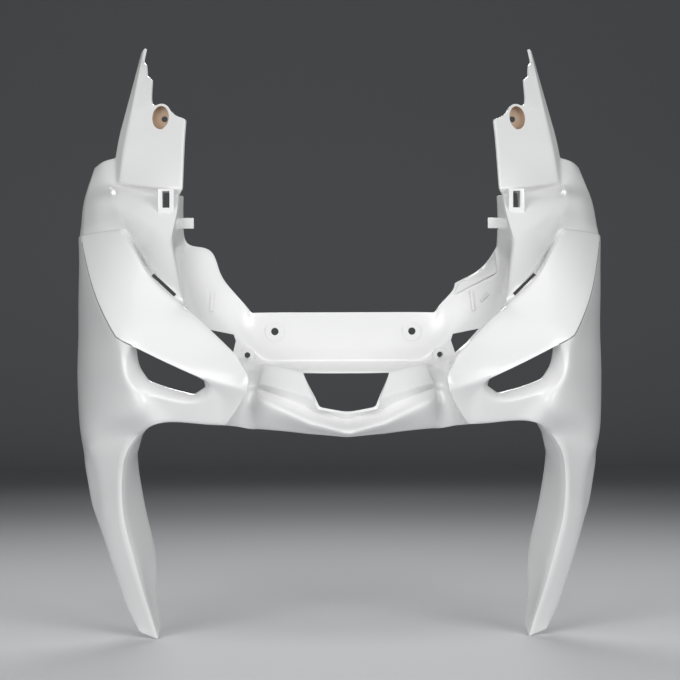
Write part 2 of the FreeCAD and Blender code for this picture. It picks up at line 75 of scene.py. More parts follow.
# Fine line along the brow's outer edge, and how far round it, in radii of the bar, its painted shade
# reaches
LINE_R = 0.6
LINE_SIDES = 6
LINE_STEPS = 12
LINE_REACH = 1.15

# Flange and ribs of the bays: upper and lower line as X and Z, and how far they stand out
RAY_START = -1000.0
BAND_ROOT = 1.2
BANDS = [
    ([(99.5, 34.5), (104, 42), (125, 54), (137.5, 71)],
     [(100, 33), (112, 39), (126, 46), (137.5, 52)], 1.8),
    ([(113, 36), (113.4, 27), (113.8, 18)], [(115, 36), (115.4, 27), (115.8, 18)], 3.0),
    ([(121, 27), (128, 33.5)], [(122, 25.5), (129, 32)], 2.0),
    ([(-113, 36), (-113.4, 27), (-113.8, 18)], [(-116, 36), (-116.4, 27), (-116.8, 18)], 1.6),
]

# Edge lines of one half of the outer skin in millimetres: half-width, depth, height
RAILS = {
    "bar_top": [(0, 0, 16), (20, 0, 16), (41, 0, 16), (61.5, 0, 16), (81, 2, 16), (88, 8, 25)],
    "bar_mid": [(0, 0, -13), (20, 0, -13), (41, 0, -13), (61.5, 0, -13), (77, 0, -12), (91, 0, -5)],
    "ledge_back": [(0, 3, -26), (19, 3, -26), (38.5, 3, -26), (54, 3, -26), (69, 1, -26),
                   (80, -7, -23.5)],
    "ledge_front": [(0, -58, -33.5), (18.5, -58, -33.5), (37, -58, -33.5), (51, -51, -30.5),
                    (66, -42, -27), (75, -36, -31.5)],
    "mouth_sill": [(0, -90, -69), (24.5, -86, -65.5), (28.5, -82, -56.5), (48, -73, -50),
                   (72.5, -62, -43.5)],
    "lip_root": [(0, -86, -75), (22.5, -79, -67.5), (30, -76, -65), (48, -69, -58), (73, -58, -49)],
    "lip_edge": [(0, -106, -83.5), (24, -96, -79), (33, -92, -76.5), (48, -84, -70.5),
                 (72.5, -70, -60.5)],
    "nose_under": [(0, -88, -88.5), (24, -74, -87), (33, -69, -86.5), (48, -60, -85), (73.5, -48, -83)],
    "nose_side": [(76.5, -56, -45), (77.5, -54, -51), (79, -58, -62), (81, -47, -83)],
    "valley": [(97, -20, -19.5), (88, -48, -33), (87, -62, -44), (87.5, -64, -51.5),
               (90, -64, -66), (92.5, -57, -80.5)],
    "cheek_end": [(91.5, -92, -63.5), (102, -81, -78.5)],
    "brow_ridge": [(83, -100, -35.5), (92.5, -89, -20), (112, -71, -1), (127, -59, 12.5),
                   (138.5, -50, 21.5), (165.5, -38, 45), (179, -29, 67), (192.5, -14, 87)],
    "brow_mid": [(83, -103, -43), (103, -90.5, -29), (129, -76, -13.5), (153.5, -64.5, 0.5),
                 (166.5, -57.5, 10), (184.5, -42.5, 29.5), (200, -22, 54), (213, 7, 83)],
    "brow_low": [(84, -102, -49.5), (118, -88, -40.5), (147.5, -77, -27.5), (180.5, -64, -12),
                 (194.5, -59, -4.5), (206, -41, 14.5), (219, -10, 42), (230.5, 30, 80.5)],
    "groove_floor": [(138.5, -45, 25), (163.3, -27.5, 47.5), (177.3, -18, 69.2), (190.5, -10, 88.8)],
    "panel_edge": [(138.5, -42, 28.5), (160, -36, 50.3), (175, -27, 70.8), (189, -12, 90.5)],
    "bay_rim": [(98, 17, 35.5), (101.5, 26, 43), (125.5, 40, 56.5), (140, 46, 76.5)],
    "bay_lobe": [(100.5, 18, 39.5), (109.5, 30, 54), (118, 42.5, 73), (140, 46, 76.5)],
    "bay_mid": [(106, 4, 11.5), (120.5, 12, 27.5), (133, 21, 44.5), (141.5, 29, 60)],
    "bay_trough": [(113.5, -18, -6.5), (128.5, -18, 9), (139, -22, 24.5)],
    "fold": [(147.3, -7, 67.8), (150, 8, 84.2), (146.5, 25, 104.5), (145.5, 39.5, 122)],
    "fold_back": [(141.5, 52, 103), (141.5, 57, 122)],
    "panel_out": [(195.5, 9, 101.5), (200, 29, 111.5), (204, 49, 123), (204, 82, 134.5)],
    "arm_foot": [(142.5, 37, 128.5), (161.5, 44, 129.5), (181, 59, 133), (200, 76, 137)],
    "arm_inner": [(142.2, 48, 154), (141.5, 55, 174.5), (140.7, 62, 192)],
    "arm_crease": [(198, 85, 160), (196.2, 89.5, 173), (194.3, 94, 185), (180.5, 117, 263)],
    "arm_steps": [(151, 71, 197.8), (158.7, 79, 205.5), (169.5, 86.5, 207.8), (172.6, 90, 213.5),
                  (172.3, 97, 232), (177, 103, 237.3), (178.2, 107, 247), (181.3, 112, 251.5),
                  (179.2, 115.5, 263.5)],
    "arm_back": [(206, 102, 160.5), (203.8, 106.5, 175), (201.5, 110.5, 187), (182.8, 124, 261)],
    "vent_edge": [(114, -85, -48), (124.5, -77, -58), (147.5, -68, -56.5), (171.5, -60, -49.5),
                  (182, -60, -35.5), (185, -60, -21.5)],
    "vent_back": [(120.5, -72, -41), (119, -70, -46.5), (128.5, -63, -52.5), (148.5, -55, -48),
                  (166.5, -49, -41.5), (174, -48, -31), (176.5, -49, -21), (177, -50, -12.5)],
    "vent_roof": [(148, -61, -26.5)],
    "cheek_mid": [(102.5, -86.5, -58.5), (112.5, -81.5, -63), (126, -74, -66.5), (147.5, -66, -65.5),
                  (166.5, -60, -61)],
    "cheek_low": [(107, -77.5, -78.2), (116, -73.5, -78), (127.5, -68.5, -77.3), (148, -60.5, -76.2),
                  (164, -56, -79)],
    "hip_corner": [(193, -56, -18), (191, -58.5, -35), (185.5, -57.5, -53), (180, -57, -71)],
    "leg_ridge": [(176, -36, -87), (187.3, -27, -102.5), (192, -18, -120.5), (193, -14, -139.5),
                  (191, -11, -164), (184, -8, -193), (176, -3, -224.5), (169, 2, -247.5),
                  (163, 6, -268.5)],
    "leg_inner": [(176, 19, -89), (182, 34, -107.5), (181, 36, -123.5), (178, 37, -143.5),
                  (173, 37, -168.5), (166.5, 37, -198), (166, 36, -229), (163.5, 35, -252),
                  (162, 32, -260.5)],
    "side_ridge": [(236, 58, 80.5), (230, 26, 43), (224.5, 10, 15), (222, 2, -5), (221.5, 0, -18),
                   (221, 0, -35.5), (221, 1, -52), (221, 4, -71), (221, 9, -92), (217.5, 11, -109),
                   (214, 12, -127), (212, 13, -145), (209.7, 14, -169), (205, 16, -196.5),
                   (196, 17, -224), (189, 17, -245), (179.5, 13.5, -263.5)],
    "side_out": [(236.5, 90, 81.5), (238, 80, 44.5), (238.5, 80, 16), (238.5, 80, -5),
                 (239, 80, -18.5), (239.5, 80, -37), (239, 80, -54.5), (238, 78, -72.5),
                 (235.5, 72, -93), (232, 62, -110), (229.5, 57, -126), (226, 55, -146),
                 (219.5, 53, -169), (206, 40, -198), (197, 34, -225.5), (190.5, 31, -244),
                 (185.3, 27, -258.5)],
    "side_rear": [(238, 156, 84.5), (240, 156, 46.5), (240, 156, 17), (240.5, 156, -5),
                  (240.5, 156, -19), (240.5, 156, -38), (240.5, 156, -56), (239.5, 152, -74),
                  (237.5, 140, -96.5), (233.5, 122, -111.5), (229.5, 106, -128), (223.5, 93, -148),
                  (215, 80, -171), (203.5, 62, -199.5), (196, 51, -227), (189, 43, -245),
                  (183.3, 38, -258)],
    "shoulder_mid": [(216, 24, 98), (218, 43, 110.5), (219.5, 62, 122.5), (219.5, 92, 136),
                     (218, 112, 158)],
    "shoulder_out": [(230.5, 52, 98), (231.5, 70, 111), (231, 86, 124), (229.5, 108, 138),
                     (226, 124, 154)],
}

# Where lines between those points are divided
CHEEK_BACK_SHARE = 0.7
SHOULDER_SHARES = (0.3, 0.6)
PLATE_POINTS = 4

# Holes, bosses, cups, slots and tabs in millimetres
BAR_HOLE_X = 60.0
BAR_HOLE_R = 3.25
BAR_RING_R = 8.5
BAR_RING_RISE = 0.9
BAR_RING_INSET = 0.3
BOSS_X = 84.0
BOSS_Z = -20.5
BOSS_R = 6.5
BOSS_FRONT = -8.0
BOSS_BACK = 5.0
BOSS_HOLE_R = 2.5
ARM_HOLE_X = 160.0
ARM_HOLE_Z = 195.5
ARM_HOLE_R = 2.75
CUP_OFFSET = 3.0
CUP_HALF_WIDTH = 7.75
CUP_HALF_HEIGHT = 11.0
CUP_FLOOR = 92.0
CUP_LENGTH = 40.0
CUP_MARGIN = 0.1
SLOT_X = 156.0
SLOT_Z = 117.5
SLOT_WIDTH = 6.4
SLOT_HEIGHT = 14.8
SLOT_FRAME = (14.4, 18.0, 22.4)
SLOT_FRAME_CENTRE = (156.0, 36.0, 116.0)
GROOVE_SLOT_X = 155.0
GROOVE_SLOT_Z = 40.0
GROOVE_SLOT_LENGTH = 27.0
GROOVE_SLOT_WIDTH = 3.0
GROOVE_SLOT_TILT = 42.5
TAB_REACH = 9.5
TAB_ROOT = 4.0
TAB_RISE = 92.5
TAB_HEIGHT = 9.5
TAB_FRONT = 44.0
WINDOW = [(118, 2), (96, -2.5), (94, -8), (96.5, -19), (107, -10)]
WINDOW_FRONT = -32.0
WINDOW_BACK = 28.0
CUT_LENGTH = 120.0

# Plastic
PAINT_DARK = (0.8, 0.8, 0.795)
PAINT_LIGHT = (0.835, 0.835, 0.83)
BARE_COLOUR = (0.6, 0.42, 0.27)
BARE_SHARE = 0.8
# Dark grey painted shade inside the fine line along the brow
LINE_SHADE_COLOUR = (0.26, 0.26, 0.265)
MOTTLE_SCALE = 7
RIPPLE_SCALE = 12
NOISE_DETAIL = 2
SMOOTHEST = 0.22
ROUGHEST = 0.28

# Studio in metres: floor, wall and the depths between which the paint deepens
FLOOR_PALE = (0.62, 0.63, 0.64)
FLOOR_GREY = (0.2, 0.205, 0.21)
FADE_START = 0.3
FADE_END = 1.5
FLOOR_FRONT = -8.0
FLOOR_BEND = 2.4
BEND_STEPS = 12
STUDIO_BACK = 3.2
STUDIO_TOP = 4.5
STUDIO_HALF = 9.0

# Softboxes: place, power, width and height
LAMP_AIM = (0.0, 0.0, 0.0)
LAMPS = {
    "left": ((-1.35, -2.0, 0.55), 9.9, 1.3, 1.3),
    "right": ((1.35, -2.0, 0.55), 9.6, 1.3, 1.3),
    "top": ((0.0, -1.2, 1.7), 6, 2.4, 1.6),
    "back": ((0.0, 2.0, 1.2), 8, 1.2, 0.8),
}
LAMP_SPREAD = 110.0
WORLD_COLOUR = (0.75, 0.77, 0.8)
WORLD_STRENGTH = 0.18

# Camera as the photograph has it: level, a little to the left of the middle
CAMERA_AIM = (0.0, 0.084, -0.0076)
CAMERA_DISTANCE = 1.89
CAMERA_YAW = 2.05
CAMERA_ROLL = -0.2
CAMERA_LENS = 109.2


def rails_of(sign):
    """The half's lines as vectors, on the side of X that the sign names."""
    return {name: [Vector((sign * x, y, z)) for x, y, z in points] for name, points in RAILS.items()}


def span(start, end, count):
    return [start.lerp(end, i / (count - 1)) for i in range(count)]


def returned(points):
    """The inner edge of a flange that runs straight back from an edge."""
    return [p + Vector((0, RETURN_DEPTH, RETURN_RISE)) for p in points]


def nose_panels(r):
    """Crossbar, ledge, mouth surround, lip and underside, out to the valley beside the nose."""
    nose_end = [r["ledge_front"][4], r["mouth_sill"][4], r["lip_root"][4], r["lip_edge"][4],
                r["nose_under"][4]]
    side = [r["ledge_front"][5]] + r["nose_side"]
    valley_in = [r["ledge_back"][5]] + side
    foot = [nose_end[-1], side[-1], r["valley"][-1]]
    return [
        [r["bar_top"], r["bar_mid"], r["ledge_back"]],
        [r["ledge_back"], r["ledge_front"]],
        [r["ledge_front"][2:5], r["mouth_sill"][2:5]],
        [r["mouth_sill"], r["lip_root"]],
        [r["lip_root"], r["lip_edge"]],
        [r["lip_edge"], r["nose_under"]],
        [nose_end, side],
        [valley_in, r["valley"], r["brow_end"]],
        [r["nose_under"], returned(r["nose_under"])],
        [foot, returned(foot)],
    ]


def brow_panels(r):
    """Brow, the groove above it, the bay behind it and the arm's inner flange."""
    rim = [r["bar_top"][5]] + r["rim"]
    mid = [r["bar_mid"][5]] + r["bay_mid"]
    trough = [r["ledge_back"][5], r["valley"][0]] + r["bay_trough"]
    fold = [r["panel_edge"][0]] + r["fold"]
    fold_back = [trough[-1], mid[-1], rim[-1]] + r["fold_back"]
    return [
        [r["brow_ridge"], r["brow_mid"], r["brow_low"]],
        [r["brow_ridge"][4:], r["groove_floor"], r["panel_edge"]],
        [rim, mid, trough],
        [r["brow_ridge"][1:5], trough[1:]],
        [[r["brow_ridge"][4], trough[-1]], [r["groove_floor"][0], r["panel_edge"][0]]],
        [fold, fold_back],
    ]


def vent_panels(r):
    """Vent with its reveal, the cheek under it, its outer frame and the knee over the leg."""
    low = r["brow_low"]
    edge = [low[1]] + r["vent_edge"] + [low[3]]
    cheek_top = [low[0]] + edge[:5]
    cheek_mid = [r["cheek_end"][0]] + r["cheek_mid"]
    cheek_low = [r["cheek_end"][1]] + r["cheek_low"]
    hip = r["hip_corner"]
    knee_foot = [cheek_low[-1], r["leg_ridge"][0]]
    knee_back = [returned(knee_foot)[0], r["leg_inner"][0]]
    cheek_back = returned(cheek_low)
    cheek_back[0] = cheek_back[0].lerp(cheek_back[1], CHEEK_BACK_SHARE)
    return [
        [edge, r["vent_back"]],
        [low[1:4], [r["vent_back"][0], r["vent_roof"][0], r["vent_back"][-1]]],
        [cheek_top, cheek_mid, cheek_low],
        [edge[4:], [hip[2], hip[1], hip[0], low[4]]],
        [[edge[4], cheek_mid[-1], cheek_low[-1]], [hip[2], hip[3], r["leg_ridge"][0]]],
        [cheek_low, cheek_back],
        [knee_foot, knee_back],
    ]


def flank_panels(r):
    """Outer side from the shoulder to the tip of the leg, and the leg's inner wall."""
    front = r["brow_low"][:3:-1] + r["hip_corner"] + r["leg_ridge"]
    return [
        [front, r["side_ridge"], r["side_out"], r["side_rear"]],
        [r["leg_ridge"], r["leg_inner"]],
    ]


def shoulder_panels(r):
    """Recessed panel under the arm, and the shoulder that wraps from it round to the rear edge."""
    fold = [r["panel_edge"][0]] + r["fold"]
    outer = [r["panel_edge"][3]] + r["panel_out"]
    panel = [r["panel_edge"]]
    for inner_point, outer_point in zip(fold[1:], outer[1:]):
        panel.append(span(inner_point, outer_point, PLATE_POINTS))
    inner = [r["brow_ridge"][7], r["groove_floor"][3]] + outer + [r["arm_back"][0]]
    crest = [r["brow_mid"][7]] + r["shoulder_mid"]
    edge = [r["brow_low"][7]] + r["shoulder_out"]
    for line in (crest, edge):
        line[1:1] = [line[0].lerp(line[1], share) for share in SHOULDER_SHARES]
    root = edge[0]
    rear = r["side_rear"][0].y
    flank = [edge]
    for name in ("side_ridge", "side_out", "side_rear"):
        wrap = r[name][0] - root
        flank.append([p + wrap * ((rear - p.y) / (rear - root.y)) for p in edge])
    return [panel, [inner, crest, edge], flank]


def arm_panels(r):
    """Plate of the arm with its stepped end, its outer flange and the step down to the panel."""
    foot = r["arm_foot"]
    fold_top = span(r["fold"][3], r["panel_out"][3], PLATE_POINTS)
    steps = [r["arm_inner"][2]] + r["arm_steps"]
    shares = [(p.z - steps[0].z) / (steps[-1].z - steps[0].z) for p in steps]
    crease = [r["arm_crease"][2].lerp(r["arm_crease"][3], share) for share in shares]
    back = [r["arm_back"][2].lerp(r["arm_back"][3], share) for share in shares]
    plate = [foot]
    for a, b in zip(r["arm_inner"] + steps[1:], r["arm_crease"][:3] + crease[1:]):
        plate.append(span(a, b, PLATE_POINTS))
    crease_line = [foot[3]] + r["arm_crease"][:2] + crease
    back_line = [r["panel_out"][3]] + r["arm_back"][:2] + back
    return [plate, [fold_top, foot], [crease_line, back_line]]


def half_panels(sign):
    r = rails_of(sign)
    r["rim"] = r["bay_rim"] if sign > 0 else r["bay_lobe"]
    r["brow_end"] = [r["brow_ridge"][1], r["brow_ridge"][0], r["brow_mid"][0], r["brow_low"][0]]
    r["brow_end"] += r["cheek_end"]
    panels = nose_panels(r) + brow_panels(r) + vent_panels(r)
    return panels + flank_panels(r) + shoulder_panels(r) + arm_panels(r)


def key(point):
    return tuple(round(c, 3) + 0.0 for c in point)


def link(a, b):
    return frozenset((key(a), key(b)))


def cells_of(panel):
    """The four-cornered cells of a grid, each as its corners in order round it."""
    cells = []
    for upper, lower in zip(panel, panel[1:]):
        for i in range(len(upper) - 1):
            cells.append([upper[i], upper[i + 1], lower[i + 1], lower[i]])
    return cells


def borders_of(panel):
    """The outer edges of a grid."""
    runs = [panel[0], panel[-1], [row[0] for row in panel], [row[-1] for row in panel]]
    return {link(a, b) for run in runs for a, b in zip(run, run[1:])}


def edges_of(cell):
    return list(zip(cell, cell[1:] + cell[:1]))


def edge_users(cells):
    """For each edge, whichever way it runs, the cells that use it."""
    users = {}
    for number, cell in enumerate(cells):
        for a, b in edges_of(cell):
            users.setdefault(link(a, b), []).append(number)
    return users


def turn_alike(cells):
    """Cells turned so that all face out, as the first does once it is turned to the front."""
    users = edge_users(cells)
    turned = {0: cells[0][::-1]}
    waiting = [0]
    while waiting:
        number = waiting.pop()
        for a, b in edges_of(turned[number]):
            for other in users[link(a, b)]:
                if other in turned:
                    continue
                ways = [(key(p), key(q)) for p, q in edges_of(cells[other])]
                same = (key(a), key(b)) in ways
                turned[other] = cells[other][::-1] if same else cells[other]
                waiting.append(other)
    return [turned[number] for number in range(len(cells))]


def cell_normal(cell):
    return (cell[2] - cell[0]).cross(cell[3] - cell[1]).normalized()


def inner_points(cells):
    """Each point moved in by the wall, with mitres where panels meet at an angle."""
    normals = {}
    for cell in cells:
        for i in range(4):
            ahead = cell[(i + 1) % 4] - cell[i]
            behind = cell[i - 1] - cell[i]
            normal = ahead.cross(behind).normalized()
            normals.setdefault(key(cell[i]), []).append((normal, ahead.angle(behind)))
    moved = {}
    for point, faces in normals.items():
        mean = sum((normal * weight for normal, weight in faces), Vector()).normalized()
        total = sum(weight for normal, weight in faces)
        share = sum(mean.dot(normal) * weight for normal, weight in faces) / total
        stretch = min(1 / max(share, 1 / MITRE_LIMIT), MITRE_LIMIT)
        moved[point] = Vector(point) - mean * (WALL * stretch)
    return moved


def crease_for(angle):
    """How tight an edge is between panels that meet at this angle."""
    if angle < math.radians(FLAT_ANGLE):
        return 0.0
    return min(MOST_CREASE, LEAST_CREASE + math.degrees(angle) / 180)


def lines_with_crease(r):
    """Long lines whose tightness is listed, and not set by the angle of the panels that meet there."""
    low = r["brow_low"]
    edge = [low[1]] + r["vent_edge"] + [low[3]]
    nose_rows = ("ledge_front", "mouth_sill", "lip_root", "lip_edge", "nose_under")
    nose_end = [r[name][4] for name in nose_rows]
    return [
        ([r["brow_ridge"][7], r["brow_mid"][7], low[7]], 0.0),
        (r["lip_edge"], 0.3),
        (nose_end, 0.35),
        ([r["ledge_front"][5]] + r["nose_side"], 0.2),
        (low[3:], 0.85),
        (low[:2], 0.6),
        (edge, 0.35),
        ([low[4]] + r["hip_corner"][:3], 0.3),
        ([r["hip_corner"][2], edge[4]], 0.0),
        (r["hip_corner"][2:], 0.0),
        ([r["hip_corner"][3], r["leg_ridge"][0]], 0.0),
        ([edge[4], r["cheek_mid"][4], r["cheek_low"][4]], 0.0),
        ([r["cheek_end"][1]] + r["cheek_low"] + r["leg_ridge"][:1], 0.5),
        ([r["cheek_low"][4], returned(r["cheek_low"])[4]], 0.0),
        ([r["leg_ridge"][0], r["leg_inner"][0]], 0.0),
        (r["leg_ridge"], 0.45),
        (r["side_ridge"][8:13], 0.4),
        (r["side_out"][9:13], 0.3),
        ([r["cheek_low"][4], r["hip_corner"][3], r["side_ridge"][7]], 0.3),
        (r["bar_mid"], 0.3),
    ]


def sharp_corners(rims):
    """Points where a free edge turns sharply, other than those of the rounded lobe."""
    lobe = {key(p) for p in rails_of(-1)["bay_lobe"]}
    ends = {}
    for a, b in rims:
        ends.setdefault(a, []).append(Vector(b) - Vector(a))
        ends.setdefault(b, []).append(Vector(a) - Vector(b))
    turns = {point: math.pi - ways[0].angle(ways[1]) for point, ways in ends.items()}
    least = math.radians(CORNER_ANGLE)
    return [p for p, turn in turns.items() if turn > least and p not in lobe]


def creases_by_eye():
    """For each edge of the listed lines, how tight it is."""
    tight_edges = {}
    for sign in (1, -1):
        for line, tight in lines_with_crease(rails_of(sign)):
            tight_edges.update({link(a, b): tight for a, b in zip(line, line[1:])})
    return tight_edges


def add_skins(bm, cells):
    """Outer and inner skin of the wall. Gives the vertices of each by their outer point."""
    outer, inner = {}, {}
    for point, target in inner_points(cells).items():
        outer[point] = bm.verts.new(Vector(point) * MM)
        inner[point] = bm.verts.new(target * MM)
    for cell in cells:
        bm.faces.new([outer[key(p)] for p in cell])
        bm.faces.new([inner[key(p)] for p in reversed(cell)])
    return outer, inner


def mark_seams(bm, outer):
    """Marks the brow's outer edge, so that the fine line can be cut along it once it is smooth."""
    for sign in (1, -1):
        seam = rails_of(sign)["brow_low"][3:]
        for a, b in zip(seam, seam[1:]):
            bm.edges.get([outer[key(a)], outer[key(b)]]).seam = True


def shell_cage():
    """Closed cage of the wall: outer skin, inner skin and rims, with tight edges creased."""
    panels = half_panels(1) + half_panels(-1)
    borders = set().union(*(borders_of(panel) for panel in panels))
    cells = turn_alike([cell for panel in panels for cell in cells_of(panel)])
    by_eye = creases_by_eye()
    bm = bmesh.new()
    crease = bm.edges.layers.float.new("crease_edge")
    outer, inner = add_skins(bm, cells)
    rims = []
    for edge, users in edge_users(cells).items():
        a, b = edge
        if len(users) == 1:
            ways = [(key(p), key(q)) for p, q in edges_of(cells[users[0]])]
            if (a, b) not in ways:
                a, b = b, a
            bm.faces.new([outer[b], outer[a], inner[a], inner[b]])
            rims.append((a, b))
            tight = RIM_CREASE
        elif edge in borders or edge in by_eye:
            first, second = [cell_normal(cells[number]) for number in users]
            tight = crease_for(first.angle(second))
        else:
            continue
        tight = by_eye.get(edge, tight)
        bm.edges.get([outer[a], outer[b]])[crease] = tight
        bm.edges.get([inner[a], inner[b]])[crease] = tight
    for point in sharp_corners(rims):
        bm.edges.get([outer[point], inner[point]])[crease] = RIM_CREASE
    mark_seams(bm, outer)
    bm.normal_update()
    return bm


def new_object(name, bm):
    mesh = bpy.data.meshes.new(name)
    bm.to_mesh(mesh)
    bm.free()
    piece = bpy.data.objects.new(name, mesh)
    bpy.context.scene.collection.objects.link(piece)
    return piece


def bar_along_y(name, x, z, start, end, half_width, half_height=None, bevel=0.0):
    """Round or oval bar along Y, in millimetres."""
    bm = bmesh.new()
    bmesh.ops.create_cone(bm, cap_ends=True, segments=64, radius1=1, radius2=1, depth=1)
    shape = Matrix.Diagonal((half_width, half_height or half_width, end - start, 1))
    turn = Matrix.Rotation(math.radians(90), 4, "X")
    place = Matrix.Translation((x, (start + end) / 2, z))
    bm.transform(Matrix.Scale(MM, 4) @ place @ turn @ shape)
    if bevel:
        rims = [e for e in bm.edges if any(len(face.verts) > 4 for face in e.link_faces)]
        bmesh.ops.bevel(bm, geom=rims, offset=bevel * MM, segments=3, profile=0.5, affect="EDGES")
    return new_object(name, bm)


def box_at(name, centre, sizes, turn, bevel=0.0):
    """Box about a centre, turned about it, in millimetres."""
    bm = bmesh.new()
    bmesh.ops.create_cube(bm, size=1)
    shape = Matrix.Diagonal((*sizes, 1))
    bm.transform(Matrix.Scale(MM, 4) @ Matrix.Translation(centre) @ turn @ shape)
    if bevel:
        bmesh.ops.bevel(bm, geom=bm.edges[:], offset=bevel * MM, segments=3, profile=0.5,
                        affect="EDGES")
    return new_object(name, bm)


def prism_along_y(name, corners, start, end):
    """Prism along Y over corners given as X and Z, in millimetres."""
    bm = bmesh.new()
    near = [bm.verts.new(Vector((x, start, z)) * MM) for x, z in corners]
    face = bm.faces.new(near)
    grown = bmesh.ops.extrude_face_region(bm, geom=[face])
    far = [item for item in grown["geom"] if isinstance(item, bmesh.types.BMVert)]
    bmesh.ops.translate(bm, verts=far, vec=(0, (end - start) * MM, 0))
    bmesh.ops.recalc_face_normals(bm, faces=bm.faces[:])
    return new_object(name, bm)


def arm_cup(name, sign):
    """Oval cup behind the arm plate, cut off along the plate."""
    x = sign * (ARM_HOLE_X + CUP_OFFSET)
    cup = bar_along_y(name, x, ARM_HOLE_Z, CUP_FLOOR - CUP_LENGTH, CUP_FLOOR + WALL,
                      CUP_HALF_WIDTH + WALL, CUP_HALF_HEIGHT + WALL, bevel=0.8)
    r = rails_of(sign)
    low, top, crease = r["arm_inner"][1], r["arm_inner"][2], r["arm_crease"][2]
    normal = (crease - top).cross(top - low).normalized()
    normal *= 1 if normal.y > 0 else -1
    bm = bmesh.new()
    bm.from_mesh(cup.data)
    plane = (low + normal * (WALL / 2)) * MM
    whole = bm.verts[:] + bm.edges[:] + bm.faces[:]
    cut = bmesh.ops.bisect_plane(bm, geom=whole, plane_co=plane, plane_no=normal, clear_inner=True)
    edges = [item for item in cut["geom_cut"] if isinstance(item, bmesh.types.BMEdge)]
    bmesh.ops.contextual_create(bm, geom=edges)
    bmesh.ops.recalc_face_normals(bm, faces=bm.faces[:])
    bm.to_mesh(cup.data)
    bm.free()
    return cup


def side_additions(sign):
    """What stands out from the shell on one side."""
    frame_x, frame_y, frame_z = SLOT_FRAME_CENTRE
    upright = Matrix.Identity(4)
    tab_x = sign * (RAILS["fold_back"][0][0] + (TAB_ROOT - TAB_REACH) / 2)
    tab_centre = (tab_x, TAB_FRONT + WALL / 2, TAB_RISE + TAB_HEIGHT / 2)
    return [
        bar_along_y("ring", sign * BAR_HOLE_X, 0, -BAR_RING_RISE, WALL - BAR_RING_INSET, BAR_RING_R,
                    bevel=0.6),
        bar_along_y("boss", sign * BOSS_X, BOSS_Z, BOSS_FRONT, BOSS_BACK, BOSS_R, bevel=0.8),
        arm_cup("cup", sign),
        box_at("slot_frame", (sign * frame_x, frame_y, frame_z), SLOT_FRAME, upright, bevel=0.8),
        box_at("tab", tab_centre, (TAB_REACH + TAB_ROOT, WALL, TAB_HEIGHT), upright, bevel=0.5),
    ]


def side_cuts(sign):
    """What is cut out of the shell on one side."""
    reach = CUT_LENGTH / 2
    slant = Matrix.Rotation(math.radians(-sign * GROOVE_SLOT_TILT), 4, "Y")
    cup_x = sign * (ARM_HOLE_X + CUP_OFFSET)
    return [
        bar_along_y("bar_hole", sign * BAR_HOLE_X, 0, -reach, reach, BAR_HOLE_R),
        bar_along_y("boss_hole", sign * BOSS_X, BOSS_Z, -reach, reach, BOSS_HOLE_R),
        bar_along_y("arm_hole", sign * ARM_HOLE_X, ARM_HOLE_Z, CUP_FLOOR - reach, CUP_FLOOR + reach,
                    ARM_HOLE_R),
        bar_along_y("pocket", cup_x, ARM_HOLE_Z, CUP_FLOOR - reach, CUP_FLOOR, CUP_HALF_WIDTH,
                    CUP_HALF_HEIGHT),
        box_at("slot", (sign * SLOT_X, SLOT_FRAME_CENTRE[1], SLOT_Z),
               (SLOT_WIDTH, CUT_LENGTH, SLOT_HEIGHT), Matrix.Identity(4)),
        box_at("groove_slot", (sign * GROOVE_SLOT_X, -RETURN_DEPTH, GROOVE_SLOT_Z),
               (GROOVE_SLOT_LENGTH, reach, GROOVE_SLOT_WIDTH), slant),
        prism_along_y("window", [(sign * x, z) for x, z in WINDOW], WINDOW_FRONT, WINDOW_BACK),
    ]


def seam_runs(mesh):
    """The marked lines of a mesh, each as its points in order."""
    ahead = {}
    for edge in mesh.edges:
        if edge.use_seam:
            a, b = edge.vertices
            ahead.setdefault(a, []).append(b)
            ahead.setdefault(b, []).append(a)
    runs = []
    for start in [point for point, others in ahead.items() if len(others) == 1]:
        run = [start, ahead[start][0]]
        while len(ahead[run[-1]]) == 2:
            run.append(next(p for p in ahead[run[-1]] if p != run[-2]))
        if run[0] < run[-1]:
            runs.append([mesh.vertices[point].co.copy() for point in run])
    return runs


def line_tool(points):
    """Thin round bar along a line of points, which cuts a fine line into the surface."""
    bm = bmesh.new()
    turns = [math.radians(360 * k / LINE_SIDES) for k in range(LINE_SIDES)]
    rings = []
    for i, point in enumerate(points):
        way = (points[min(i + 1, len(points) - 1)] - points[max(i - 1, 0)]).normalized()
        side = way.cross(Vector((1, 0, 0))).normalized()
        up = side.cross(way)
        rings.append([bm.verts.new(point + (side * math.cos(t) + up * math.sin(t)) * LINE_R * MM)
                      for t in turns])
    for ring, after in zip(rings, rings[1:]):
        for k in range(LINE_SIDES):
            bm.faces.new([ring[k], ring[k - 1], after[k - 1], after[k]])
    bm.faces.new(rings[0])
    bm.faces.new(rings[-1])
    bmesh.ops.recalc_face_normals(bm, faces=bm.faces[:])
    return new_object("line_tool", bm)


def combine(shell, pieces, operation):
    """Boolean of the shell with pieces, which are then thrown away."""
    group = bpy.data.collections.new("tools")
    bpy.context.scene.collection.children.link(group)
    for piece in pieces:
        bpy.context.scene.collection.objects.unlink(piece)
        group.objects.link(piece)
    step = shell.modifiers.new(operation.lower(), "BOOLEAN")
    step.operation = operation
    step.operand_type = "COLLECTION"
    step.collection = group
    step.solver = "MANIFOLD"
    bake(shell)
    for piece in pieces:
        bpy.data.objects.remove(piece)
    bpy.data.collections.remove(group)


